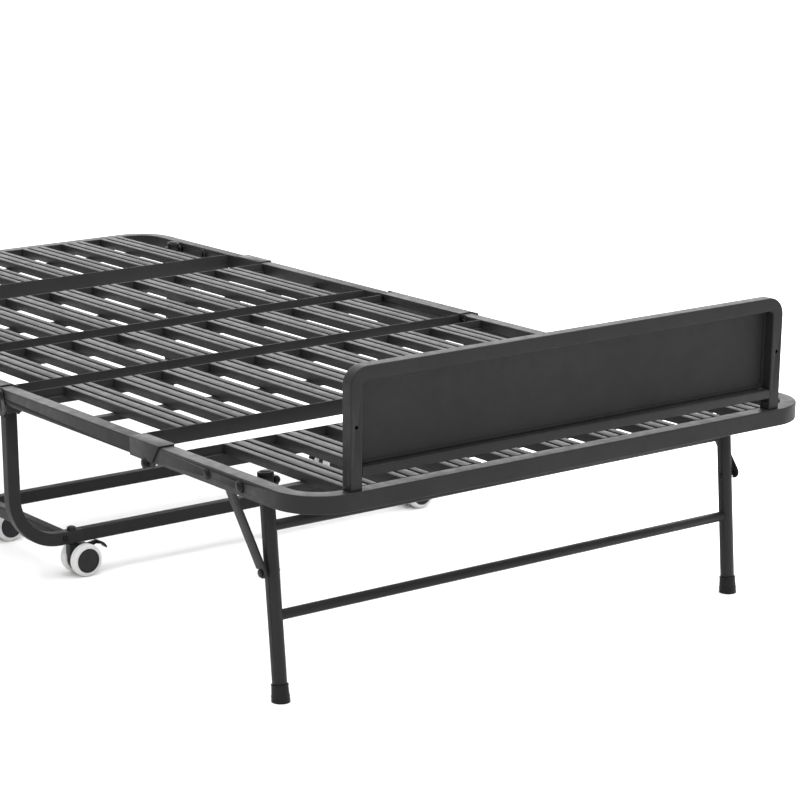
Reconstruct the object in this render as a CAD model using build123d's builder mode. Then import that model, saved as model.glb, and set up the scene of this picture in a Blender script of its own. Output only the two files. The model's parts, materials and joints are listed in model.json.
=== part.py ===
from build123d import *

import math
import os

# Folding guest bed: five slatted deck sections on a wheeled centre base, with a folding leg frame at
# each end and a low head panel. +X runs to the head end, +Z up, and the origin is on the floor under
# the middle of the bed. Every sub-part of the head half is modelled once, and the foot half is the
# same sub-part turned half round about Z.

# ---- driving dimensions, mm ----
deck_end = 961.0          # middle of the bed to the outer face of an end tube
deck_top = 330.0
rail_size = 25.0          # square tube of the middle rails
rail_wall = 1.2
rail_y = 467.5            # centre line of the side rails
corner = 1.8              # outside corner radius of the square tubes
end_tube = 24.4           # end frames are a little narrower, to turn inside the hinge channels
end_tube_deep = 26.4
end_tube_corner = 76.0    # outside bend radius of an end frame in plan
plate = 2.0               # folded steel plate
ledge = 5.0               # width of the ledge that carries the slats' ends
play = 0.3                # side play of a rail inside a hinge channel
running = 0.05            # radial clearance of a hinge pin

centre_plate_end = 115.0  # top plate of the centre channel
middle_start = 116.0
middle_end = 554.6
end_start = 555.4
middle_pivot = (127.0, 318.5)
end_pivot = (555.0, 298.5)
leg_pivot = (802.0, 317.5)
brace_pivot = (719.0, 317.5)
pivot_radius = 4.0
leg_pivot_radius = 4.5

slat_count = 9
slat_pitch = 92.0
slat_width = 50.0
slat_depth = 14.0
slat_sheet = 1.0
groove_width = 5.5
groove_depth = 3.0
middle_ridge = 17.0

leg_radius = 11.0
leg_wall = 1.2
leg_y = 435.5
leg_splay = 5.6           # degrees that a foot stands outboard of its pivot
leg_top = 8.0             # tube above the pivot
cap_radius = 12.0
cap_height = 6.5
foot_height = 26.0
crossbar_radius = 7.8
crossbar_drops = (64.0, 193.6)
stud_drop = 128.1
stud_radius = 4.0

brace_y = 453.0
brace_thickness = 3.0
brace_width = 20.0
brace_offset = 3.0        # the stud lies this far from the middle of the brace

panel_half_width = 402.0
panel_top = 501.5
panel_tube = 20.0
panel_front = 956.5
panel_corner = 28.0

upright_x = 128.0         # centre of the base frames
upright_wide = 18.0
upright_deep = 21.5
upright_bend = 92.0       # outside radius
upright_top = 298.0
bar_bottom = 56.5
joint_y = 345.0           # end of an upright's horizontal leg
side_bar_y = 379.0

stem_y = 362.5
stem_radius = 4.0
wheel_radius = 27.0
wheel_trail = 16.5
wheel_outer = 24.8        # half width over both wheels
wheel_inner = 7.5
hub_radius = 20.4

rail_bottom = deck_top - rail_size
rail_mid_z = deck_top - rail_size / 2
rail_inner = rail_y - rail_size / 2
rail_outer = rail_y + rail_size / 2
slat_bottom = deck_top - slat_depth
slat_ys = [slat_pitch * (i - (slat_count - 1) / 2) for i in range(slat_count)]
bar_top = bar_bottom + upright_deep
bar_mid_z = bar_bottom + upright_deep / 2
y_axis = (0, 1, 0)

os.makedirs("parts", exist_ok=True)


# ---- helpers ----
def save(piece, name):
    """Label one sub-part and write its STEP file."""
    piece.label = name
    export_step(piece, f"parts/{name}.step")


def save_both(piece, name):
    """Write a head-half sub-part and its twin, turned half round, for the foot half."""
    save(piece, f"head_{name}")
    save(piece.rotate(Axis.Z, 180), f"foot_{name}")


def save_pair(piece, name):
    """Write a sub-part and its half-turned twin as one node."""
    save(Compound(children=[piece, piece.rotate(Axis.Z, 180)]), name)


def turned(x, z, outline):
    """Add a turned shape about a Y-wise axis through (x, z); outline lists (y, radius) points."""
    with BuildSketch(Plane.YZ.offset(x)) as half:
        with BuildLine():
            Polyline(*[(y, z + radius) for y, radius in outline], close=True)
        make_face()
    revolve(half.sketch, axis=Axis((x, 0, z), y_axis))


def dome(y, height, radius, steps=5):
    """Points of a domed head that starts at y and rises by height, from its rim to its crown."""
    angles = [math.pi / 2 * i / steps for i in range(1, steps + 1)]
    return [(y + height * math.sin(a), radius * math.cos(a)) for a in angles]


def cross_hole(x, z, radius):
    """Drill through everything along Y at (x, z)."""
    with BuildSketch(Plane.XZ) as bore:
        with Locations((x, z)):
            Circle(radius)
    extrude(bore.sketch, amount=deck_end, both=True, mode=Mode.SUBTRACT)


def side_plate(y_from, y_to):
    """Extrude the pending outline, drawn on Plane.XZ at y_from, to y_to."""
    extrude(amount=y_from - y_to)


def block(x_range, y_range, z_range, mode=Mode.ADD):
    """Add or cut a box given by its ranges."""
    with BuildSketch(Plane.XY.offset(z_range[0])) as base:
        with Locations(((x_range[0] + x_range[1]) / 2, (y_range[0] + y_range[1]) / 2)):
            Rectangle(x_range[1] - x_range[0], y_range[1] - y_range[0])
    extrude(base.sketch, amount=z_range[1] - z_range[0], mode=mode)


def tube_section(wide, deep, radius, wall):
    """Draw a hollow rounded section in the open sketch."""
    RectangleRounded(wide, deep, radius)
    RectangleRounded(wide - 2 * wall, deep - 2 * wall, radius - wall / 2, mode=Mode.SUBTRACT)


def slats(start, end):
    """Nine grooved sheet-steel slats, open underneath, from start to end along X."""
    top = deck_top - slat_depth / 2
    roof = slat_depth / 2 - slat_sheet
    groove_y = (middle_ridge + groove_width) / 2
    outer_ridge = (slat_width - middle_ridge) / 2 - groove_width
    outer_ridge_y = (slat_width - outer_ridge) / 2
    with BuildPart() as group:
        with BuildSketch(Plane.YZ.offset(start)):
            with Locations(*[(y, top) for y in slat_ys]):
                Rectangle(slat_width, slat_depth)
                with Locations((0, -groove_depth / 2 - slat_sheet / 2)):
                    Rectangle(
                        slat_width - 2 * slat_sheet,
                        slat_depth - slat_sheet - groove_depth,
                        mode=Mode.SUBTRACT,
                    )
                with Locations((-groove_y, (slat_depth - groove_depth) / 2),
                               (groove_y, (slat_depth - groove_depth) / 2)):
                    Rectangle(groove_width, groove_depth, mode=Mode.SUBTRACT)
                with Locations((0, roof - groove_depth / 2)):
                    Rectangle(middle_ridge - 2 * slat_sheet, groove_depth, mode=Mode.SUBTRACT)
                with Locations((-outer_ridge_y, roof - groove_depth / 2),
                               (outer_ridge_y, roof - groove_depth / 2)):
                    Rectangle(outer_ridge - 2 * slat_sheet, groove_depth, mode=Mode.SUBTRACT)
        extrude(amount=end - start)
    return group.part


def ledged_bar(face, toward, half_length, bottom):
    """Upright plate across the deck, outer face at x = face, with a ledge for the slats beyond it."""
    back = face + toward * plate
    tip = back + toward * ledge
    block(sorted((face, back)), (-half_length, half_length), (bottom, deck_top))
    block(sorted((back, tip)), (-half_length, half_length), (bottom, slat_bottom))


def support_bar(middle, half_length):
    """Thin rectangular tube across the deck, right under the slats."""
    wide = 15.0
    deep = 10.0
    with BuildSketch(Plane.XZ.offset(-half_length)) as section:
        with Locations((middle, slat_bottom - deep / 2)):
            tube_section(wide, deep, 1.5, 1.2)
    extrude(section.sketch, amount=2 * half_length)


def cap_nut(x, z, y):
    """Hexagon cap nut that starts at y and points inboard (toward smaller y)."""
    hex_height = 7.0
    hex_radius = 7.5
    with BuildSketch(Plane.XZ.offset(-y)) as hexagon:
        with Locations((x, z)):
            RegularPolygon(hex_radius, 6)
    extrude(hexagon.sketch, amount=hex_height)
    inner = y - hex_height
    turned(x, z, [(inner, 0), (inner, 5.6)] + [(2 * inner - a, r) for a, r in dome(inner, 5.0, 5.6)])


# ---- centre section, fixed on the wheeled base ----
channel_inner = rail_inner - play
channel_outer = rail_outer + play
ear_bottom = 286.0

with BuildPart() as centre_channels:
    side_outline = [
        (132, deck_top + plate), (133, 321), (141.4, rail_bottom - 0.5),
        (145, 303), (145, 298), (133, ear_bottom),
    ]
    for y_from in (channel_inner - plate, channel_outer):
        with BuildSketch(Plane.XZ.offset(-y_from)):
            with BuildLine():
                mirrored = [(-x, z) for x, z in reversed(side_outline)]
                Polyline(*side_outline, *mirrored, close=True)
            make_face()
        side_plate(y_from, y_from + plate)
    plate_ends = (-centre_plate_end, centre_plate_end)
    block(plate_ends, (channel_inner, channel_outer), (deck_top, deck_top + plate))
    for side in (-1, 1):
        stop = sorted((side * 142, side * 145))
        block(stop, (channel_inner, channel_outer), (ear_bottom + 6, rail_bottom - play))
        cross_hole(side * middle_pivot[0], middle_pivot[1], pivot_radius)
    mirror(about=Plane.XZ)
save(centre_channels.part, "centre_hinge_channels")

with BuildPart() as centre_bars:
    for side in (-1, 1):
        ledged_bar(side * centre_plate_end, -side, channel_inner - plate, rail_bottom)
save(centre_bars.part, "centre_cross_bars")

save(slats(plate - centre_plate_end, centre_plate_end - plate), "centre_slats")

with BuildPart() as rivets:
    rivet_head = 6.5
    inner_end = channel_inner - plate
    outer_end = channel_outer + plate
    for side in (-1, 1):
        turned(
            side * middle_pivot[0],
            middle_pivot[1],
            [(inner_end - 2.5, 0), (inner_end - 2.5, rivet_head - 1), (inner_end, rivet_head)]
            + [(inner_end, pivot_radius), (outer_end, pivot_radius), (outer_end, rivet_head)]
            + dome(outer_end, 3.0, rivet_head),
        )
    mirror(about=Plane.XZ)
save(rivets.part, "centre_hinge_rivets")

# ---- wheeled base ----
upright_y = channel_outer - upright_deep / 2
bend_middle = upright_bend - upright_deep / 2
tube_corner = 2.2
insert_length = 48.0

with BuildPart() as uprights:
    with BuildLine(Plane.YZ.offset(upright_x)):
        FilletPolyline(
            (upright_y, upright_top),
            (upright_y, bar_mid_z),
            (joint_y, bar_mid_z),
            radius=bend_middle,
        )
    with BuildSketch(Plane(origin=(upright_x, upright_y, upright_top), z_dir=(0, 0, -1), x_dir=(1, 0, 0))):
        tube_section(upright_wide, upright_deep, tube_corner, rail_wall)
    sweep()
    with BuildSketch(Plane.YZ):
        with Locations((side_bar_y, bar_mid_z)):
            Circle(3.0)
    extrude(amount=upright_x + upright_wide, mode=Mode.SUBTRACT)
    with BuildSketch(Plane.XY):
        with Locations((upright_x, stem_y)):
            Circle(stem_radius)
    extrude(amount=deck_top / 2, mode=Mode.SUBTRACT)
    mirror(about=Plane.XZ)
save_pair(uprights.part, "base_uprights")

with BuildPart() as base_bars:
    # full section between the uprights, and a smaller tongue inside each of them
    tongue_wide = upright_wide - 2 * rail_wall - 0.4
    tongue_deep = upright_deep - 2 * rail_wall - 0.4
    with BuildSketch(Plane.XZ.offset(-joint_y)):
        with Locations((upright_x, bar_mid_z)):
            RectangleRounded(upright_wide, upright_deep, tube_corner)
    extrude(amount=2 * joint_y)
    with BuildSketch(Plane.XZ.offset(-joint_y - insert_length)):
        with Locations((upright_x, bar_mid_z)):
            RectangleRounded(tongue_wide, tongue_deep, tube_corner)
    extrude(amount=2 * (joint_y + insert_length))
    with BuildSketch(Plane.XZ.offset(-joint_y - insert_length)):
        with Locations((upright_x, bar_mid_z)):
            Rectangle(tongue_wide - 2 * rail_wall, tongue_deep - 2 * rail_wall)
    extrude(amount=2 * (joint_y + insert_length), mode=Mode.SUBTRACT)
    for side in (-1, 1):
        with BuildSketch(Plane.YZ):
            with Locations((side * side_bar_y, bar_mid_z)):
                Circle(3.0)
        extrude(amount=upright_x + upright_wide, mode=Mode.SUBTRACT)
        with BuildSketch(Plane.XY):
            with Locations((upright_x, side * stem_y)):
                Circle(stem_radius)
        extrude(amount=deck_top / 2, mode=Mode.SUBTRACT)
save_pair(base_bars.part, "base_cross_bars")

side_bar_end = upright_x - upright_wide / 2
with BuildPart() as side_bars:
    with BuildSketch(Plane.YZ.offset(-side_bar_end)):
        with Locations((side_bar_y, bar_mid_z)):
            tube_section(18.0, 20.0, tube_corner, rail_wall)
    extrude(amount=2 * side_bar_end)
    for side in (-1, 1):
        # plug that takes the bolt
        with BuildSketch(Plane.YZ.offset(side * side_bar_end)):
            with Locations((side_bar_y, bar_mid_z)):
                Rectangle(18.0 - 2 * rail_wall, 20.0 - 2 * rail_wall)
                Circle(3.0, mode=Mode.SUBTRACT)
        extrude(amount=-side * 14)
    mirror(about=Plane.XZ)
save(side_bars.part, "base_side_bars")

with BuildPart() as base_bolts:
    bolt_start = side_bar_end - 12
    head_plane = upright_x + upright_wide / 2
    for side in (-1, 1):
        outline = [(bolt_start, 0), (bolt_start, 3.0), (head_plane, 3.0), (head_plane, 5.5)]
        outline += dome(head_plane, 3.0, 5.5)
        with BuildSketch(Plane.XZ.offset(-side_bar_y)):
            with BuildLine():
                Polyline(*[(side * x, bar_mid_z + r) for x, r in outline], close=True)
            make_face()
        revolve(axis=Axis((0, side_bar_y, bar_mid_z), (1, 0, 0)))
    mirror(about=Plane.XZ)
save(base_bolts.part, "base_bolts")

stem_bottom = 34.0
flange_thickness = 1.5
with BuildPart() as stems:
    for x in (-upright_x, upright_x):
        with BuildSketch(Plane.XZ.offset(-stem_y)):
            with BuildLine():
                Polyline(
                    (x, stem_bottom), (x + stem_radius, stem_bottom),
                    (x + stem_radius, bar_bottom - flange_thickness), (x + 7, bar_bottom - flange_thickness),
                    (x + 7, bar_bottom), (x + stem_radius, bar_bottom), (x + stem_radius, bar_top),
                    (x + 8, bar_top), (x + 7.2, bar_top + 4.5), (x + 4, bar_top + 6), (x, bar_top + 6.4),
                    close=True,
                )
            make_face()
        revolve(axis=Axis((x, stem_y, 0), (0, 0, 1)))
    mirror(about=Plane.XZ)
save(stems.part, "caster_stems")

# ---- middle sections ----
with BuildPart() as middle_rails:
    with BuildSketch(Plane.YZ.offset(middle_start)):
        with Locations((-rail_y, rail_mid_z), (rail_y, rail_mid_z)):
            tube_section(rail_size, rail_size, corner, rail_wall)
    extrude(amount=middle_end - middle_start)
    cross_hole(*middle_pivot, pivot_radius + running)
save_both(middle_rails.part, "middle_rails")

hinge_from = 515.0
hinge_to = 595.0
ear_radius = 7.0
with BuildPart() as hinge_channels:
    lip = rail_bottom - 1.5
    for y_from in (rail_inner - plate, rail_outer):
        with BuildSketch(Plane.XZ.offset(-y_from)):
            with BuildLine():
                Polyline(
                    (hinge_from, deck_top + plate), (hinge_to, deck_top + plate), (hinge_to - 20, lip),
                    (hinge_from, lip), close=True,
                )
            make_face()
            with Locations(end_pivot):
                Circle(ear_radius)
            with Locations((end_pivot[0], end_pivot[1] + ear_radius / 2)):
                Rectangle(2 * ear_radius, ear_radius)
        side_plate(y_from, y_from + plate)
    block((hinge_from, hinge_to), (rail_inner, rail_outer), (deck_top, deck_top + plate))
    cross_hole(*end_pivot, pivot_radius)
    mirror(about=Plane.XZ)
save_both(hinge_channels.part, "hinge_channels")

middle_slats_from = 171.0
middle_slats_to = 508.0
middle_support = 327.0
with BuildPart() as middle_cross_members:
    ledged_bar(middle_slats_from, 1, rail_inner, rail_bottom)
    ledged_bar(middle_slats_to, -1, rail_inner, rail_bottom)
    support_bar(middle_support, rail_inner)
save_both(middle_cross_members.part, "middle_cross_members")

save_both(slats(middle_slats_from + plate, middle_slats_to - plate), "middle_slats")

with BuildPart() as hinge_bolts:
    head_y = rail_outer + plate
    nut_y = rail_inner - plate
    turned(
        *end_pivot,
        [(nut_y - 4, 0), (nut_y - 4, pivot_radius), (head_y, pivot_radius), (head_y, 5.8)]
        + dome(head_y, 3.4, 5.8),
    )
    with BuildSketch(Plane.XZ.offset(-nut_y)):
        with Locations(end_pivot):
            RegularPolygon(6.8, 6)
            Circle(pivot_radius, mode=Mode.SUBTRACT)
    extrude(amount=4)
    mirror(about=Plane.XZ)
save_both(hinge_bolts.part, "hinge_bolts")

# ---- end sections ----
end_tube_y = rail_y
end_tube_x = deck_end - end_tube / 2
end_tube_inner = end_tube_x - end_tube / 2
end_tube_top = deck_top - 0.3
end_tube_z = end_tube_top - end_tube_deep / 2
end_side_inner = rail_y - end_tube / 2
end_side_outer = rail_y + end_tube / 2

with BuildPart() as end_frame:
    with BuildLine(Plane.XY.offset(end_tube_z)):
        FilletPolyline(
            (end_start, -end_tube_y),
            (end_tube_x, -end_tube_y),
            (end_tube_x, end_tube_y),
            (end_start, end_tube_y),
            radius=end_tube_corner - end_tube / 2,
        )
    with BuildSketch(Plane.YZ.offset(end_start)):
        with Locations((-end_tube_y, end_tube_z)):
            tube_section(end_tube, end_tube_deep, corner, rail_wall)
    sweep()
    cross_hole(*leg_pivot, leg_pivot_radius)
    cross_hole(*brace_pivot, pivot_radius)
save_both(end_frame.part, "end_frame")

with BuildPart() as lugs:
    lug_top = end_tube_top - end_tube_deep
    lug_radius = 6.0
    for y_from in (rail_y - 11.5, rail_y + 8.5):
        with BuildSketch(Plane.XZ.offset(-y_from)):
            with Locations(end_pivot):
                Circle(lug_radius)
            with BuildLine():
                Polyline(
                    (end_pivot[0], end_pivot[1] - lug_radius), (575, end_pivot[1] - lug_radius + 3),
                    (579, lug_top), (end_start + 2, lug_top), (end_pivot[0], end_pivot[1] + lug_radius),
                    close=True,
                )
            make_face()
        side_plate(y_from, y_from + 3)
    # flat top under the end frame's tube, and a web between the two lugs
    lug_end = 580
    under_tube = (end_start - 0.2, lug_end)
    block(under_tube, (rail_y - 12, rail_y + 12), (lug_top, lug_top + 3), mode=Mode.SUBTRACT)
    block((562, 578), (rail_y - 9, rail_y + 9), (lug_top - 2.5, lug_top))
    cross_hole(*end_pivot, pivot_radius + running)
    mirror(about=Plane.XZ)
save_both(lugs.part, "hinge_lugs")

end_slats_from = 629.0
end_support = 831.0
end_bar_drop = 9.0        # the first end bar hangs this far below the rails
with BuildPart() as end_cross_members:
    ledged_bar(end_slats_from, 1, end_side_inner, rail_bottom - end_bar_drop)
    support_bar(end_support, end_side_inner)
save_both(end_cross_members.part, "end_cross_members")

save_both(slats(end_slats_from + plate, end_tube_inner), "end_slats")

leg_outer = leg_y + leg_radius
leg_inner = leg_y - leg_radius
with BuildPart() as pivot_bolts:
    # leg pivot: washer and domed head outside, spacer between rail and leg, cap nut inboard
    turned(
        *leg_pivot,
        [(leg_inner - 3, 0), (leg_inner - 3, leg_pivot_radius), (leg_outer + 0.4, leg_pivot_radius)]
        + [(leg_outer + 0.4, 7.5), (end_side_inner, 7.5), (end_side_inner, leg_pivot_radius)]
        + [(end_side_outer, leg_pivot_radius), (end_side_outer, 9.2), (end_side_outer + 1.6, 9.2)]
        + [(end_side_outer + 1.6, 6.5)] + dome(end_side_outer + 1.6, 3.2, 6.5),
    )
    cap_nut(*leg_pivot, leg_inner - 0.4)
    # brace pivot
    brace_inner = brace_y - brace_thickness / 2
    brace_outer = brace_y + brace_thickness / 2
    turned(
        *brace_pivot,
        [(brace_inner - 4.4, 0), (brace_inner - 4.4, 6.2), (brace_inner - 0.4, 6.2)]
        + [(brace_inner - 0.4, pivot_radius), (brace_outer + 0.4, pivot_radius), (brace_outer + 0.4, 7)]
        + [(end_side_inner, 7), (end_side_inner, pivot_radius), (end_side_outer, pivot_radius)]
        + [(end_side_outer, 5.8)] + dome(end_side_outer, 3.4, 5.8),
    )
    mirror(about=Plane.XZ)
save_both(pivot_bolts.part, "pivot_bolts")

# ---- leg frames, built about the pivot with the leg along local -Z ----
splay = math.radians(leg_splay)
leg_frame_plane = Plane(
    origin=(leg_pivot[0], 0, leg_pivot[1]),
    x_dir=(math.cos(splay), 0, math.sin(splay)),
    z_dir=(-math.sin(splay), 0, math.cos(splay)),
)
leg_length = leg_pivot[1] / math.cos(splay)
tube_end = leg_length - 6.0


def on_leg(drop):
    """Plane square to the legs, drop below the pivot."""
    return leg_frame_plane.offset(-drop)


def leg_point(drop):
    """Place on the legs' centre line, as (x, z), drop below the pivot."""
    return (leg_pivot[0] + drop * math.sin(splay), leg_pivot[1] - drop * math.cos(splay))


with BuildPart() as leg_tubes:
    with BuildSketch(on_leg(-leg_top)):
        with Locations((0, leg_y), (0, -leg_y)):
            Circle(leg_radius)
            Circle(leg_radius - leg_wall, mode=Mode.SUBTRACT)
    extrude(amount=-(leg_top + tube_end))
    cross_hole(*leg_pivot, leg_pivot_radius + running)
    cross_hole(*leg_point(stud_drop), stud_radius)
save_both(leg_tubes.part, "leg_tubes")

with BuildPart() as crossbars:
    for drop in crossbar_drops:
        with BuildSketch(Plane.XZ.offset(-leg_y)):
            with Locations(leg_point(drop)):
                Circle(crossbar_radius)
                Circle(crossbar_radius - leg_wall, mode=Mode.SUBTRACT)
        extrude(amount=2 * leg_y)
    with BuildSketch(on_leg(0)):
        with Locations((0, leg_y), (0, -leg_y)):
            Circle(leg_radius)
    extrude(amount=-tube_end, mode=Mode.SUBTRACT)
save_both(crossbars.part, "leg_crossbars")

with BuildPart() as caps:
    plug_radius = leg_radius - leg_wall
    foot_top_radius = 12.3
    foot_bottom_radius = 13.8
    for y in (-leg_y, leg_y):
        # top cap with its plug inside the tube
        with BuildSketch(on_leg(-leg_top)):
            with Locations((0, y)):
                Circle(cap_radius)
        extrude(amount=cap_height)
        # foot: a tapered cup over the tube's end, cut level with the floor
        with BuildSketch(on_leg(leg_length - foot_height)):
            with Locations((0, y)):
                Circle(foot_top_radius)
        with BuildSketch(on_leg(leg_length + 2)):
            with Locations((0, y)):
                Circle(foot_bottom_radius)
        loft()
        with BuildSketch(on_leg(tube_end)):
            with Locations((0, y)):
                Circle(leg_radius)
        extrude(amount=foot_height, mode=Mode.SUBTRACT)
        with BuildSketch(on_leg(tube_end)):
            with Locations((0, y)):
                Circle(plug_radius)
        extrude(amount=8)
    with BuildSketch(Plane.XY.offset(-20)):
        Rectangle(3 * deck_end, 3 * deck_end)
    extrude(amount=20, mode=Mode.SUBTRACT)
    fillet(caps.faces().group_by(Axis.Z)[-1].edges(), radius=1.2)
save_both(caps.part, "leg_caps")

with BuildPart() as studs:
    stud_start = leg_inner - 0.3
    stud_end = brace_outer + 0.4
    turned(
        *leg_point(stud_drop),
        [(stud_start, 0), (stud_start, stud_radius), (stud_end, stud_radius)]
        + [(stud_end, 6), (stud_end + 1.4, 6), (stud_end + 2.0, 4.5), (stud_end + 2.0, 0)],
    )
    mirror(about=Plane.XZ)
save_both(studs.part, "latch_studs")

# ---- hooked braces, each turning on its own bolt and resting on the leg's stud ----
stud_x, stud_z = leg_point(stud_drop)
reach = math.hypot(stud_x - brace_pivot[0], stud_z - brace_pivot[1])
brace_length = math.sqrt(reach**2 - brace_offset**2)
brace_angle = math.atan2(stud_z - brace_pivot[1], stud_x - brace_pivot[0]) + math.asin(brace_offset / reach)
notch_radius = stud_radius + 0.5


def brace(side):
    """Flat hooked brace on one side of the bed; its notch opens down and toward the bed's middle."""
    y_plane = side * brace_y
    along = Vector(math.cos(brace_angle), 0, math.sin(brace_angle))
    flat = Plane(origin=(brace_pivot[0], y_plane, brace_pivot[1]), x_dir=along, z_dir=(0, -1, 0))
    with BuildPart() as bar:
        with BuildSketch(flat.offset(-brace_thickness / 2)):
            end = brace_length - 1
            with Locations((end / 2, 0)):
                RectangleRounded(end + brace_width, brace_width, brace_width / 2 - 0.5)
            Circle(pivot_radius + running, mode=Mode.SUBTRACT)
            with Locations((brace_length, -brace_offset)):
                Circle(notch_radius, mode=Mode.SUBTRACT)
            with BuildLine():
                Polyline(
                    (brace_length + notch_radius, -brace_offset),
                    (brace_length + notch_radius, -brace_width),
                    (brace_length - 17, -brace_width),
                    (brace_length - notch_radius * math.cos(math.radians(35)),
                     -brace_offset + notch_radius * math.sin(math.radians(35))),
                    close=True,
                )
            make_face(mode=Mode.SUBTRACT)
        extrude(amount=brace_thickness)
    return bar.part


for side_name, side in (("left", -1), ("right", 1)):
    opposite = "right" if side_name == "left" else "left"
    piece = brace(side)
    save(piece, f"head_brace_{side_name}")
    save(piece.rotate(Axis.Z, 180), f"foot_brace_{opposite}")

# ---- head panel ----
panel_x = panel_front - panel_tube / 2
post_y = panel_half_width - panel_tube / 2
panel_hole_z = deck_top + 88.5
panel_screw_z = deck_top + 13.0
panel_wall = 1.5

with BuildPart() as panel_frame:
    with BuildLine(Plane.YZ.offset(panel_x)):
        FilletPolyline(
            (-post_y, end_tube_top),
            (-post_y, panel_top - panel_tube / 2),
            (post_y, panel_top - panel_tube / 2),
            (post_y, end_tube_top),
            radius=panel_corner - panel_tube / 2,
        )
    with BuildSketch(Plane.XY.offset(end_tube_top)):
        with Locations((panel_x, -post_y)):
            tube_section(panel_tube, panel_tube, corner, panel_wall)
    sweep()
    with BuildSketch(Plane.YZ.offset(panel_x)):
        with Locations((-post_y, panel_hole_z), (post_y, panel_hole_z)):
            Circle(2.5)
    extrude(amount=panel_tube, mode=Mode.SUBTRACT)
    cross_hole(panel_x, panel_screw_z, 3.0)
save(panel_frame.part, "head_panel_frame")

panel_rail_bottom = deck_top + 17.5
panel_rail_top = deck_top + 31.5
panel_inner = panel_half_width - panel_tube
with BuildPart() as panel_rail:
    with BuildSketch(Plane.XZ.offset(-panel_inner)):
        with Locations((panel_x, (panel_rail_bottom + panel_rail_top) / 2)):
            tube_section(panel_tube, panel_rail_top - panel_rail_bottom, corner, panel_wall)
    extrude(amount=2 * panel_inner)
save(panel_rail.part, "head_panel_rail")

with BuildPart() as panel_sheet:
    # flat sheet near the back of the frame, with a narrow raised border
    inset = 0.2
    sheet = 1.5
    sheet_back = panel_front - 19.5
    border = 4.5
    border_rise = 4.0
    sheet_low = panel_rail_top + inset
    sheet_high = panel_top - panel_tube - inset
    middle_z = (sheet_low + sheet_high) / 2
    wide = 2 * (panel_inner - inset)
    tall = sheet_high - sheet_low
    with BuildSketch(Plane.YZ.offset(sheet_back)):
        with Locations((0, middle_z)):
            RectangleRounded(wide, tall, 7.5)
    extrude(amount=sheet)
    with BuildSketch(Plane.YZ.offset(sheet_back + sheet)):
        with Locations((0, middle_z)):
            RectangleRounded(wide, tall, 7.5)
            RectangleRounded(wide - 2 * border, tall - 2 * border, 5.0, mode=Mode.SUBTRACT)
    extrude(amount=border_rise)
save(panel_sheet.part, "head_panel_sheet")

with BuildPart() as panel_fixings:
    # spigots welded on the end tube, inside the posts, and the flush screws that hold the posts
    spigot = panel_tube - 2 * panel_wall - 0.4
    with BuildSketch(Plane.XY.offset(end_tube_top)):
        with Locations((panel_x, post_y)):
            RectangleRounded(spigot, spigot, corner)
    extrude(amount=30)
    turned(
        panel_x,
        panel_screw_z,
        [(post_y, 0), (post_y, 3), (panel_half_width - 0.2, 3), (panel_half_width - 0.2, 0)],
    )
    mirror(about=Plane.XZ)
save(panel_fixings.part, "head_panel_fixings")

# ---- swivel casters, built about the stem with the wheels trailing toward +X ----
axle_radius = 3.0
housing_half = 6.8
boss_top = bar_bottom - flange_thickness - 0.5
lever_pivot = (27.0, 43.0)
lever_pin = 2.0
slot_half = 3.6


def caster_housing(braked):
    """Plastic core between the wheels with its swivel boss; a braked one has a slot and lever pin."""
    with BuildPart() as housing:
        with BuildSketch(Plane.XZ.offset(-housing_half)):
            with Locations((wheel_trail, wheel_radius)):
                Circle(wheel_radius - 4.5)
            with BuildLine():
                Polyline(
                    (-7.5, boss_top), (-7.5, 38), (-4, 21), (20, 30), (20, 47), (8, boss_top),
                    close=True,
                )
            make_face()
        extrude(amount=2 * housing_half)
        with BuildSketch(Plane.XY.offset(boss_top)):
            Circle(7.3)
        extrude(amount=-20)
        if braked:
            block((16, 44), (-slot_half, slot_half), (34, 60), mode=Mode.SUBTRACT)
            turned(
                *lever_pivot,
                [(-slot_half, 0), (-slot_half, lever_pin), (slot_half, lever_pin), (slot_half, 0)],
            )
        cross_hole(wheel_trail, wheel_radius, axle_radius + running)
        with BuildSketch(Plane.XY.offset(stem_bottom - 0.5)):
            Circle(stem_radius + running)
        extrude(amount=40, mode=Mode.SUBTRACT)
    return housing.part


with BuildPart() as tyres:
    # rounded ring tyres on both hubs
    round_over = 4.5
    rim = wheel_radius - round_over
    middle_y = (wheel_inner + wheel_outer - 0.4) / 2
    half = (wheel_outer - 0.4 - wheel_inner) / 2
    arc = [math.pi / 2 * i / 4 for i in range(5)]
    turned(
        wheel_trail,
        wheel_radius,
        [(middle_y - half, hub_radius)]
        + [(middle_y - half + round_over * (1 - math.cos(a)), rim + round_over * math.sin(a)) for a in arc]
        + [(middle_y + half - round_over * (1 - math.sin(a)), rim + round_over * math.cos(a)) for a in arc]
        + [(middle_y + half, hub_radius)],
    )
    mirror(about=Plane.XZ)

with BuildPart() as hubs:
    # both hub discs on one axle
    turned(
        wheel_trail,
        wheel_radius,
        [(-wheel_outer, 0), (-wheel_outer, hub_radius - 1.5), (0.8 - wheel_outer, hub_radius)]
        + [(-wheel_inner, hub_radius), (-wheel_inner, axle_radius), (wheel_inner, axle_radius)]
        + [(wheel_inner, hub_radius), (wheel_outer - 0.8, hub_radius), (wheel_outer, hub_radius - 1.5)]
        + [(wheel_outer, 0)],
    )

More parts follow.
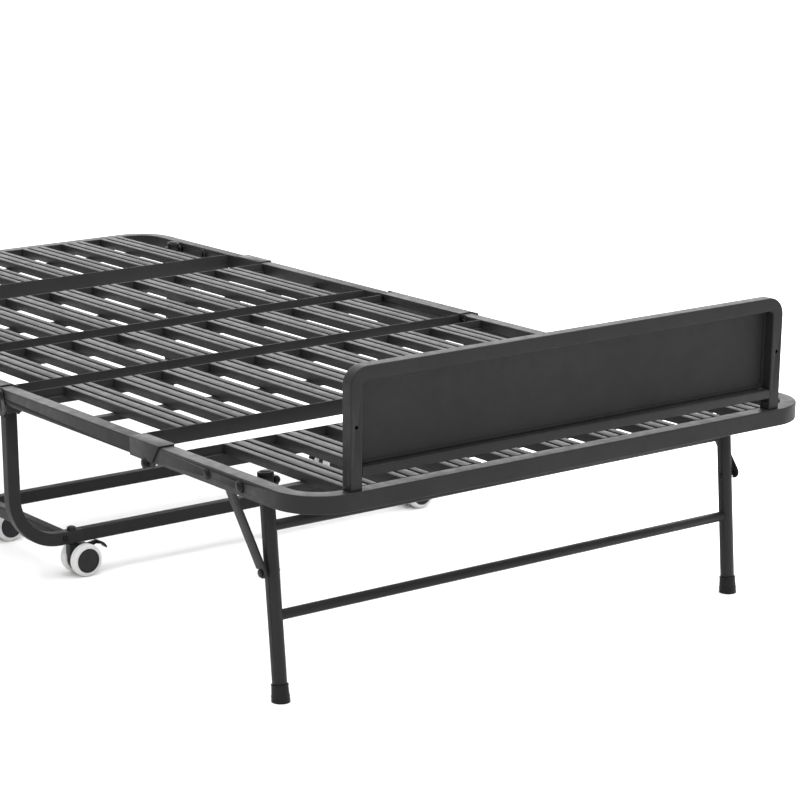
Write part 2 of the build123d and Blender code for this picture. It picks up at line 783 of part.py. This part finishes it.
with BuildPart() as lever:
    # foot lever: a narrow arm in the housing's slot and a curved pad behind the wheels
    arm_half = slot_half - 0.4
    pad_half = 8.0
    with BuildSketch(Plane.XZ.offset(-arm_half)):
        with Locations(lever_pivot):
            Circle(4.5)
        with BuildLine():
            Polyline((25, 49.3), (44, 52.5), (50, 50.5), (50, 45.5), (44, 47), (29, 41), close=True)
        make_face()
    extrude(amount=2 * arm_half)
    with BuildSketch(Plane.XZ.offset(-pad_half)):
        with BuildLine():
            Line((46, 52.2), (46, 47.2))
            ThreePointArc((46, 47.2), (55, 44.5), (61, 38))
            Line((61, 38), (62.5, 39.5))
            ThreePointArc((62.5, 39.5), (56, 48.3), (46, 52.2))
        make_face()
    extrude(amount=2 * pad_half)
    cross_hole(*lever_pivot, lever_pin + running)

for place, x, y, braked in (
    ("head_left", upright_x, -stem_y, True),
    ("head_right", upright_x, stem_y, False),
    ("foot_left", -upright_x, -stem_y, False),
    ("foot_right", -upright_x, stem_y, True),
):
    # every caster trails toward the middle of the bed
    heading = 90 if y < 0 else -90
    spot = Location((x, y, 0), (0, 0, heading))
    save(caster_housing(braked).moved(spot), f"{place}_caster_housing")
    save(tyres.part.moved(spot), f"{place}_caster_tyres")
    save(hubs.part.moved(spot), f"{place}_caster_hubs")
    if braked:
        save(lever.part.moved(spot), f"{place}_brake_lever")
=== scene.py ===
import json
import math
import random

import bmesh
import bpy
from mathutils import Matrix, Vector


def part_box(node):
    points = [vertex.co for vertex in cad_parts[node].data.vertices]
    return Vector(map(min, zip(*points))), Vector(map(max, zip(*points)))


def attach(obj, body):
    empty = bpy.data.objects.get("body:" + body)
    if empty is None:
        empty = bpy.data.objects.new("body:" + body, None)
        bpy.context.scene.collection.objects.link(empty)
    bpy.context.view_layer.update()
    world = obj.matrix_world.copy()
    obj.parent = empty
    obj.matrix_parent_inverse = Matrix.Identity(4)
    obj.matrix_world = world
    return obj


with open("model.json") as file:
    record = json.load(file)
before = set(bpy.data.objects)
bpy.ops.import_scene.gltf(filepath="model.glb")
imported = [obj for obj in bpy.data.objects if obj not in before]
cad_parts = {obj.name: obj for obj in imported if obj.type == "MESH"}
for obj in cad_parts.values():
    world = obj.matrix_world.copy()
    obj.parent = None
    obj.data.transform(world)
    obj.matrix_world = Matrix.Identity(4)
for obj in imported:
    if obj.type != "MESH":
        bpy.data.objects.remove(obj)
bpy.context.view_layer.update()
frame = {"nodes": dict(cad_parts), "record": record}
random.seed(7)

MM = 0.001
HALVES = (("head", 1), ("foot", -1))
SIDES = (-1, 1)

# sizes of the CAD parts that the added details follow
SLAT_COUNT = 9
SLAT_WIDTH = 50 * MM
MIDDLE_BAR_FACES = (170.8 * MM, 508.2 * MM)
END_BAR_FACES = (628.8 * MM,)
HINGE_BOLT = (555 * MM, 298.5 * MM)
HINGE_HEAD_Y = 482 * MM
BRACE_BOLT = (719 * MM, 317.5 * MM)
BRACE_HEAD_Y = 479.7 * MM
LEG_PIVOT = Vector((802, 0, 317.5)) * MM
LEG_Y = 435.5 * MM
LEG_SPLAY = math.radians(5.6)
LEG_TOP = 14.5 * MM
LEG_RADIUS = 11 * MM
CROSSBAR_RADIUS = 7.8 * MM
UPRIGHT_HALF_WIDTH = 9 * MM
STEM_NUT_RADIUS = 8 * MM
TREAD_MIDDLE = 15.9 * MM

# weld beads: their radii, how far they stand in from a corner and how deep their ripples are
SLAT_BEAD = 1.3 * MM
BAR_BEAD = 1.3 * MM
SADDLE_BEAD = 1.2 * MM
PLATE_BEAD = 1.4 * MM
BEAD_INSET = 0.4
BEAD_AROUND = 8
RIPPLE_VALLEY = 0.84


# ---- mesh helpers ----
def add_piece(name, mesh_data, body, slot):
    """Make an object from (vertices, faces), in the row frame, and let it ride on a body."""
    vertices, faces = mesh_data
    mesh = bpy.data.meshes.new(name)
    mesh.from_pydata([tuple(v) for v in vertices], [], faces)
    shell = bmesh.new()
    shell.from_mesh(mesh)
    bmesh.ops.recalc_face_normals(shell, faces=shell.faces)
    shell.to_mesh(mesh)
    shell.free()
    mesh.polygons.foreach_set("use_smooth", [True] * len(mesh.polygons))
    mesh.materials.append(MATERIALS[slot])
    piece = bpy.data.objects.new(name, mesh)
    bpy.context.scene.collection.objects.link(piece)
    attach(piece, body)
    return piece


def join(parts):
    """One (vertices, faces) from several."""
    vertices = []
    faces = []
    for part_vertices, part_faces in parts:
        start = len(vertices)
        vertices += part_vertices
        faces += [tuple(i + start for i in face) for face in part_faces]
    return vertices, faces


def perpendiculars(direction):
    """Two unit vectors square to a direction."""
    helper = Vector((0, 0, 1)) if abs(direction.z) < 0.9 else Vector((1, 0, 0))
    first = direction.cross(helper).normalized()
    return first, direction.cross(first).normalized()


def turned(first, second, angle):
    """Direction at an angle between two unit vectors that are square to each other."""
    return first * math.cos(angle) + second * math.sin(angle)


def loft_faces(rows, around, closed):
    """Faces between rows of vertices; in a closed loft the last row joins the first."""
    faces = []
    for row in range(rows if closed else rows - 1):
        start = row * around
        after = ((row + 1) % rows) * around
        for i in range(around):
            j = (i + 1) % around
            faces.append((start + i, start + j, after + j, after + i))
    return faces


def end_faces(rows, around):
    """The two faces that close an open loft."""
    last = (rows - 1) * around
    return [tuple(range(around))[::-1], tuple(last + i for i in range(around))]


def revolve(profile, origin, direction, segments):
    """Rows of vertices turned round an axis; profile lists (distance along it, radius)."""
    axis = Vector(direction).normalized()
    first, second = perpendiculars(axis)
    vertices = []
    for along, radius in profile:
        for i in range(segments):
            around = turned(first, second, 2 * math.pi * i / segments)
            vertices.append(Vector(origin) + axis * along + around * radius)
    return vertices


def lathe(profile, origin, direction, segments=32):
    """Turned solid with a flat face at both ends of its profile."""
    vertices = revolve(profile, origin, direction, segments)
    rows = len(profile)
    return vertices, loft_faces(rows, segments, False) + end_faces(rows, segments)


def ring(radius, thickness, height, origin, direction, segments=40):
    """Flat ring with softened corners, standing on the origin plane and rising by height."""
    soft = height * 0.35
    inner = radius - thickness
    section = [
        (0, radius), (height - soft, radius), (height, radius - soft),
        (height, inner + soft), (height - soft, inner), (0, inner),
    ]
    return revolve(section, origin, direction, segments), loft_faces(len(section), segments, True)


def round_rib(centre, direction, radius, bead):
    """Smooth ring of oval section, sunk a little into the round surface of that radius."""
    axis = direction.normalized()
    first, second = perpendiculars(axis)
    steps = 48
    around = 10
    sunk = 0.55 * bead
    height = 0.8 * bead
    vertices = []
    for step in range(steps):
        out = turned(first, second, 2 * math.pi * step / steps)
        for i in range(around):
            turn = 2 * math.pi * i / around
            reach = radius - sunk + height * math.cos(turn)
            vertices.append(centre + out * reach + axis * bead * math.sin(turn))
    return vertices, loft_faces(steps, around, True)


def weld_bead(start, end, radius, pitch=1.6 * MM):
    """Rippled weld bead between two points; its ripples are a little uneven."""
    start = Vector(start)
    end = Vector(end)
    length = (end - start).length
    axis = (end - start).normalized()
    first, second = perpendiculars(axis)
    steps = max(4, int(length / pitch) * 2)
    thinnest = 0.35
    thickening = 3.0
    vertices = []
    for row in range(steps + 1):
        t = row / steps
        ripple = 1.0 if row % 2 else RIPPLE_VALLEY
        taper = min(1.0, thickening * min(t, 1 - t) + thinnest)
        size = radius * ripple * taper * random.uniform(0.94, 1.06)
        for i in range(BEAD_AROUND):
            offset = turned(first, second, 2 * math.pi * i / BEAD_AROUND) * size
            vertices.append(start + axis * length * t + offset)
    rows = steps + 1
    return vertices, end_faces(rows, BEAD_AROUND) + loft_faces(rows, BEAD_AROUND, False)


def saddle_weld(centre, side, bar_radius, leg_radius, bead):
    """Weld where a crossbar along Y meets a round leg; side points from the leg to the bar."""
    steps = 40
    along = Vector((0, 1, 0))
    vertices = []
    for step in range(steps):
        angle = 2 * math.pi * step / steps
        x = bar_radius * math.cos(angle)
        z = bar_radius * math.sin(angle)
        depth = math.sqrt(leg_radius ** 2 - x ** 2)
        size = bead * (1.0 if step % 2 else RIPPLE_VALLEY) * random.uniform(0.93, 1.07)
        out = Vector((math.cos(angle), 0, math.sin(angle)))
        for i in range(BEAD_AROUND):
            offset = turned(out, along, 2 * math.pi * i / BEAD_AROUND) * size
            vertices.append(Vector(centre) + Vector((x, side * depth, z)) + offset)
    return vertices, loft_faces(steps, BEAD_AROUND, True)


# ---- materials ----
SATIN_SPECULAR = 0.14


def new_material(name, roughness, metallic=0.0):
    """A material with its node tree and its shader."""
    material = bpy.data.materials.new(name)
    material.use_nodes = True
    shader = material.node_tree.nodes["Principled BSDF"]
    shader.inputs["Roughness"].default_value = roughness
    shader.inputs["Metallic"].default_value = metallic
    return material, material.node_tree, shader


def noise(tree, scale, detail=3.0, roughness=0.55):
    """Noise in the piece's own coordinates."""
    place = tree.nodes.new("ShaderNodeTexCoord")
    texture = tree.nodes.new("ShaderNodeTexNoise")
    texture.inputs["Scale"].default_value = scale
    texture.inputs["Detail"].default_value = detail
    texture.inputs["Roughness"].default_value = roughness
    tree.links.new(place.outputs["Object"], texture.inputs["Vector"])
    return texture.outputs["Fac"]


def ranged(tree, value, low, high, out_low, out_high):
    """Map a value from one range to another."""
    node = tree.nodes.new("ShaderNodeMapRange")
    node.inputs["From Min"].default_value = low
    node.inputs["From Max"].default_value = high
    node.inputs["To Min"].default_value = out_low
    node.inputs["To Max"].default_value = out_high
    tree.links.new(value, node.inputs["Value"])
    return node.outputs["Result"]


def mixed(tree, factor, first, second):
    """Mix two colours, each a tuple or a socket."""
    node = tree.nodes.new("ShaderNodeMix")
    node.data_type = "RGBA"
    tree.links.new(factor, node.inputs["Factor"])
    for socket, colour in ((node.inputs[6], first), (node.inputs[7], second)):
        if isinstance(colour, tuple):
            socket.default_value = (*colour, 1)
        else:
            tree.links.new(colour, socket)
    return node.outputs[2]


def bumped(tree, height, strength, distance, normal=None):
    """Bump from a height, laid over an earlier normal where one is given."""
    node = tree.nodes.new("ShaderNodeBump")
    node.inputs["Strength"].default_value = strength
    node.inputs["Distance"].default_value = distance
    tree.links.new(height, node.inputs["Height"])
    if normal is not None:
        tree.links.new(normal, node.inputs["Normal"])
    return node.outputs["Normal"]


def upward(tree):
    """1 on faces that look up, 0 on walls and undersides."""
    geometry = tree.nodes.new("ShaderNodeNewGeometry")
    split = tree.nodes.new("ShaderNodeSeparateXYZ")
    tree.links.new(geometry.outputs["Normal"], split.inputs["Vector"])
    return ranged(tree, split.outputs["Z"], 0.55, 1.0, 0.0, 1.0)


def multiplied(tree, first, second):
    """Product of two values."""
    node = tree.nodes.new("ShaderNodeMath")
    node.operation = "MULTIPLY"
    tree.links.new(first, node.inputs[0])
    tree.links.new(second, node.inputs[1])
    return node.outputs[0]


def powder_coat(name, tone, roughness=0.5, dust=0.35):
    """Satin charcoal powder coat: orange peel, faint mottling and a trace of dust on upper faces."""
    material, tree, shader = new_material(name, roughness)
    shader.inputs["Specular IOR Level"].default_value = SATIN_SPECULAR
    deep = tuple(c * 0.86 for c in tone)
    pale = tuple(c * 1.16 for c in tone)
    dusty = tuple(min(1.0, c * 1.45 + 0.012) for c in tone)
    broad = ranged(tree, noise(tree, 9, 4), 0.3, 0.7, 0.0, 1.0)
    coat = mixed(tree, broad, deep, pale)
    specks = ranged(tree, noise(tree, 620, 2), 0.62, 0.74, 0.0, 0.5)
    coat = mixed(tree, specks, coat, pale)
    settled = ranged(tree, noise(tree, 38, 6, 0.7), 0.42, 0.8, 0.0, dust)
    coat = mixed(tree, multiplied(tree, upward(tree), settled), coat, dusty)
    tree.links.new(coat, shader.inputs["Base Color"])
    gloss = ranged(tree, noise(tree, 60, 5), 0.3, 0.7, roughness - 0.05, roughness + 0.08)
    tree.links.new(gloss, shader.inputs["Roughness"])
    peel = bumped(tree, noise(tree, 900, 2, 0.4), 0.22, 0.00035)
    wave = bumped(tree, noise(tree, 55, 2), 0.10, 0.0015, peel)
    tree.links.new(wave, shader.inputs["Normal"])
    return material


def plastic(name, tone, roughness):
    """Moulded plastic with a fine grain."""
    material, tree, shader = new_material(name, roughness)
    grain = 700
    spread = 0.12
    shader.inputs["Specular IOR Level"].default_value = SATIN_SPECULAR
    darker = tuple(c * (1 - spread) for c in tone)
    lighter = tuple(min(1.0, c * (1 + spread)) for c in tone)
    tree.links.new(mixed(tree, noise(tree, 45, 5), darker, lighter), shader.inputs["Base Color"])
    gloss = ranged(tree, noise(tree, 120, 4), 0.3, 0.7, roughness - 0.06, roughness + 0.08)
    tree.links.new(gloss, shader.inputs["Roughness"])
    tree.links.new(bumped(tree, noise(tree, grain, 2), 0.25, 0.0003), shader.inputs["Normal"])
    return material


def tread(name, tone):
    """Soft pale tyre, a little dirty where it rolls."""
    material, tree, shader = new_material(name, 0.6)
    soil = ranged(tree, noise(tree, 70, 7, 0.7), 0.5, 0.78, 0.0, 0.5)
    grime = tuple(c * 0.62 for c in tone)
    tree.links.new(mixed(tree, soil, tone, grime), shader.inputs["Base Color"])
    tree.links.new(bumped(tree, noise(tree, 500, 3), 0.3, 0.0004), shader.inputs["Normal"])
    shader.inputs["Subsurface Weight"].default_value = 0.08
    shader.inputs["Subsurface Scale"].default_value = 0.004
    return material


def metal(name, tone, roughness):
    """Blackened steel with fine turning marks."""
    material, tree, shader = new_material(name, roughness, 1.0)
    darker = tuple(c * 0.8 for c in tone)
    tree.links.new(mixed(tree, noise(tree, 160, 5), darker, tone), shader.inputs["Base Color"])
    gloss = ranged(tree, noise(tree, 300, 4), 0.3, 0.7, roughness - 0.08, roughness + 0.12)
    tree.links.new(gloss, shader.inputs["Roughness"])
    tree.links.new(bumped(tree, noise(tree, 1100, 2), 0.2, 0.0002), shader.inputs["Normal"])
    return material


# One charcoal powder coat in three tones: the frame and panel copies are painted darker than the slat copy
# as painted shade on their mostly upright faces, and the slats' lighter tone stands for light on their tops
MATERIALS = {
    "frame_paint": powder_coat("frame powder coat with painted shade", (0.0140, 0.0140, 0.0145), 0.46),
    "slat_paint": powder_coat("slat powder coat", (0.0165, 0.0165, 0.0171), 0.46),
    "panel_paint": powder_coat("panel powder coat with painted shade", (0.0130, 0.0130, 0.0134), 0.5, 0.2),
    "fastener_steel": metal("blackened fasteners", (0.018, 0.018, 0.02), 0.45),
    "cap_plastic": plastic("cap plastic", (0.008, 0.008, 0.009), 0.5),
    "housing_plastic": plastic("housing plastic", (0.010, 0.0104, 0.0115), 0.45),
    "hub_plastic": plastic("hub plastic", (0.020, 0.0204, 0.022), 0.45),
    "lever_plastic": plastic("lever plastic", (0.008, 0.008, 0.009), 0.42),
    "tyre_rubber": tread("tyre rubber", (0.58, 0.58, 0.57)),
    "stem_steel": metal("blackened stem", (0.03, 0.03, 0.032), 0.4),
}


def dress(node, slot, edge):
    """Give a CAD node its finish, and soften its sharp edges by edge metres."""
    piece = frame["nodes"][node]
    piece.data.materials.clear()
    piece.data.materials.append(MATERIALS[slot])
    piece.data.polygons.foreach_set("use_smooth", [True] * len(piece.data.polygons))
    weld = piece.modifiers.new("weld", "WELD")
    weld.merge_threshold = 0.02 * MM
    bevel = piece.modifiers.new("edge", "BEVEL")
    bevel.width = edge
    bevel.segments = 2
    bevel.limit_method = "ANGLE"
    bevel.angle_limit = math.radians(35)
    bevel.harden_normals = True
    bevel.use_clamp_overlap = True


EDGES = {
    "frame_paint": 0.7 * MM,
    "slat_paint": 0.35 * MM,
    "panel_paint": 0.6 * MM,
    "fastener_steel": 0.3 * MM,
    "stem_steel": 0.3 * MM,
}
DEFAULT_EDGE = 0.5 * MM
for entry in frame["record"]["subparts"]:
    slot_name = entry["material_slot"]
    dress(entry["node"], slot_name, EDGES.get(slot_name, DEFAULT_EDGE))


# ---- welds, washers, ribs and other small pieces, each on its CAD body ----
def weld_group(name, beads, body):
    """Several beads as one painted piece."""
    add_piece(name, join(beads), body, "frame_paint")


def slat_centres(node):
    """Y places of the slats in a node, spread evenly over it."""
    low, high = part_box(node)
    pitch = (high.y - low.y - SLAT_WIDTH) / (SLAT_COUNT - 1)
    return [low.y + SLAT_WIDTH / 2 + pitch * i for i in range(SLAT_COUNT)]


def slat_welds(node, body):
    """Short beads under both ends of every slat."""
    low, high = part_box(node)
    half = 19 * MM
    inset = SLAT_BEAD * BEAD_INSET
    beads = []
    for y in slat_centres(node):
        for x in (low.x + inset, high.x - inset):
            beads.append(weld_bead((x, y - half, low.z), (x, y + half, low.z), SLAT_BEAD))
    weld_group(node + "_welds", beads, body)


def bar_welds(node, body, bar_xs):
    """Upright beads where cross members meet the side rails."""
    low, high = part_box(node)
    inset = BAR_BEAD * BEAD_INSET
    bottom = low.z + BAR_BEAD
    top = high.z - 3 * BAR_BEAD
    beads = []
    for x in bar_xs:
        for y in (low.y + inset, high.y - inset):
            beads.append(weld_bead((x, y, bottom), (x, y, top), BAR_BEAD))
    weld_group(node + "_welds", beads, body)


def leg_welds(half, sign):
    """Saddle beads round all four ends of a leg frame's crossbars."""
    low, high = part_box(f"{half}_leg_crossbars")
    upper = (low.x if sign > 0 else high.x) + sign * CROSSBAR_RADIUS
    lower = (high.x if sign > 0 else low.x) - sign * CROSSBAR_RADIUS
    beads = []
    for x, z in ((upper, high.z - CROSSBAR_RADIUS), (lower, low.z + CROSSBAR_RADIUS)):
        for side in SIDES:
            place = (x, side * LEG_Y, z)
            beads.append(saddle_weld(place, -side, CROSSBAR_RADIUS, LEG_RADIUS, SADDLE_BEAD))
    weld_group(f"{half}_leg_welds", beads, f"{half}_legs")


def upright_welds():
    """Beads along the side plates' lower edges, where the base uprights are welded in."""
    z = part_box("centre_hinge_channels")[0].z
    tube_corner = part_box("base_uprights")[1]
    reach = 0.8 * UPRIGHT_HALF_WIDTH
    beads = []
    for end in SIDES:
        for side in SIDES:
            x = end * (tube_corner.x - UPRIGHT_HALF_WIDTH)
            y = side * (tube_corner.y + 0.9 * PLATE_BEAD)
            beads.append(weld_bead((x - reach, y, z), (x + reach, y, z), PLATE_BEAD))
    weld_group("base_upright_welds", beads, "base")


def washers():
    """Thin washers under the bolt heads on the outside of the rails."""
    radius = 8.5 * MM
    width = 2.5 * MM
    thickness = 0.8 * MM
    for half, sign in HALVES:
        for node, body, (x, z), y in (
            (f"{half}_hinge_bolts", f"{half}_middle", HINGE_BOLT, HINGE_HEAD_Y),
            (f"{half}_pivot_bolts", f"{half}_end", BRACE_BOLT, BRACE_HEAD_Y),
        ):
            rings = []
            for side in SIDES:
                rings.append(ring(radius, width, thickness, (sign * x, side * y, z), (0, side, 0)))
            add_piece(node + "_washers", join(rings), body, "fastener_steel")


def foot_ribs(half, sign):
    """Moulded rings round each foot, and the rounded button on each leg's top cap."""
    down = Vector((sign * math.sin(LEG_SPLAY), 0, -math.cos(LEG_SPLAY)))
    length = LEG_PIVOT.z / math.cos(LEG_SPLAY)
    bead = 1.1 * MM
    ribs = ((25.2 * MM, 12.75 * MM), (8.5 * MM, 13.6 * MM))
    button = [(0, 8.2), (0.9, 8.2), (1.5, 7.4), (1.9, 5.0), (2.1, 0.6)]
    parts = []
    for side in SIDES:
        leg = Vector((sign * LEG_PIVOT.x, side * LEG_Y, LEG_PIVOT.z))
        for height, radius in ribs:
            parts.append(round_rib(leg + down * (length - height), down, radius, bead))
        top = leg - down * LEG_TOP
        parts.append(lathe([(along * MM, radius * MM) for along, radius in button], top, -down))
    add_piece(f"{half}_cap_details", join(parts), f"{half}_legs", "cap_plastic")


def caster_details(name):
    """Raised rim and cap on each hub disc, and two thin rings round each tyre."""
    low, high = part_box(f"{name}_caster_hubs")
    tyre_low, tyre_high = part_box(f"{name}_caster_tyres")
    middle = (low + high) / 2
    hub_radius = (high.z - low.z) / 2
    tyre_radius = (tyre_high.z - tyre_low.z) / 2
    rim_radius = hub_radius * 0.90
    rim_width = 1.2 * MM
    rim_height = 0.35 * MM
    cap = [(-0.2, 6.4), (0.35, 6.2), (0.55, 5.4), (0.6, 0.5)]
    tread_spacing = 2.1 * MM
    tread_bead = 0.5 * MM
    tread_radius = tyre_radius + 0.15 * MM
    parts = []
    tread_rings = []
    for side in SIDES:
        face = Vector((high.x if side > 0 else low.x, middle.y, middle.z))
        out = (side, 0, 0)
        parts.append(ring(rim_radius, rim_width, rim_height, face, out))
        parts.append(lathe([(along * MM, radius * MM) for along, radius in cap], face, out))
        tread_x = middle.x + side * TREAD_MIDDLE
        for offset in (-tread_spacing, tread_spacing):
            spot = Vector((tread_x + offset, middle.y, middle.z))
            tread_rings.append(round_rib(spot, Vector((1, 0, 0)), tread_radius, tread_bead))
    wheels = f"{name}_wheels"
    add_piece(f"{name}_hub_details", join(parts), wheels, "hub_plastic")
    add_piece(f"{name}_tread_rings", join(tread_rings), wheels, "tyre_rubber")


def stem_washers():
    """Washer under the nut on each caster stem."""
    low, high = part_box("caster_stems")
    radius = 7.6 * MM
    width = 3.5 * MM
    thickness = 1.0 * MM
    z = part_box("base_cross_bars")[1].z + 0.2 * MM
    rings = []
    for x in (low.x + STEM_NUT_RADIUS, high.x - STEM_NUT_RADIUS):
        for y in (low.y + STEM_NUT_RADIUS, high.y - STEM_NUT_RADIUS):
            rings.append(ring(radius, width, thickness, (x, y, z), (0, 0, 1)))
    add_piece("stem_washers", join(rings), "base", "stem_steel")


for half_name, half_sign in HALVES:
    slat_welds(f"{half_name}_middle_slats", f"{half_name}_middle")
    slat_welds(f"{half_name}_end_slats", f"{half_name}_end")
    for section, faces in (("middle", MIDDLE_BAR_FACES), ("end", END_BAR_FACES)):
        node_name = f"{half_name}_{section}_cross_members"
        bar_welds(node_name, f"{half_name}_{section}", [half_sign * x for x in faces])
    leg_welds(half_name, half_sign)
    foot_ribs(half_name, half_sign)
slat_welds("centre_slats", "base")
upright_welds()
washers()
stem_washers()
for caster_name in ("head_left", "head_right", "foot_left", "foot_right"):
    caster_details(caster_name)


# ---- stage and camera ----
def look(yaw, pitch, roll, position, lens, shift):
    """Camera that looks along yaw (from +X towards +Y) and down by pitch, in degrees."""
    yaw = math.radians(yaw)
    pitch = math.radians(pitch)
    roll = math.radians(roll)
    ahead = Vector((
        math.cos(yaw) * math.cos(pitch),
        math.sin(yaw) * math.cos(pitch),
        -math.sin(pitch),
    ))
    level = Vector((math.sin(yaw), -math.cos(yaw), 0))
    above = level.cross(ahead)
    right = level * math.cos(roll) + above * math.sin(roll)
    up = above * math.cos(roll) - level * math.sin(roll)
    data = bpy.data.cameras.new("camera")
    data.lens = lens
    data.sensor_width = 36
    data.shift_x, data.shift_y = shift
    data.clip_end = 60
    camera = bpy.data.objects.new("camera", data)
    bpy.context.scene.collection.objects.link(camera)
    rotation = Matrix((right, up, -ahead)).transposed()
    camera.matrix_world = Matrix.Translation(position) @ rotation.to_4x4()
    bpy.context.scene.camera = camera


def area_light(name, position, aim, size, power):
    """Rectangular light at a position, turned towards aim."""
    data = bpy.data.lights.new(name, "AREA")
    data.shape = "RECTANGLE"
    data.size, data.size_y = size
    data.energy = power
    light = bpy.data.objects.new(name, data)
    light.location = position
    light.rotation_euler = (Vector(aim) - Vector(position)).to_track_quat("-Z", "Y").to_euler()
    bpy.context.scene.collection.objects.link(light)


def studio():
    """Pale floor in a white studio, with soft light from above and from the far side of the bed."""
    reach = 40
    floor_grey = 0.95
    mesh = bpy.data.meshes.new("floor")
    corners = [(-reach, -reach, 0), (reach, -reach, 0), (reach, reach, 0), (-reach, reach, 0)]
    mesh.from_pydata(corners, [], [(0, 1, 2, 3)])
    floor = bpy.data.objects.new("floor", mesh)
    material, _, shader = new_material("pale floor", 0.9)
    shader.inputs["Base Color"].default_value = (floor_grey, floor_grey, floor_grey, 1)
    shader.inputs["Specular IOR Level"].default_value = 0.1
    mesh.materials.append(material)
    bpy.context.scene.collection.objects.link(floor)
    world = bpy.data.worlds.new("studio")
    world.use_nodes = True
    backdrop = world.node_tree.nodes["Background"]
    backdrop.inputs["Color"].default_value = (1, 1, 1, 1)
    backdrop.inputs["Strength"].default_value = 1.1
    bpy.context.scene.world = world
    deck = (0, 0, 0.3)
    area_light("overhead", (0.6, 0.4, 3.6), deck, size=(5.0, 4.0), power=260)
    area_light("back", (-5.0, 3.4, 2.8), deck, size=(9.0, 4.5), power=270)
    bpy.context.scene.view_settings.view_transform = "Standard"


studio()
look(yaw=145.56, pitch=18.99, roll=-0.62, position=(3.762, -2.455, 1.288), lens=119.4, shift=(0.1575, 0.324))
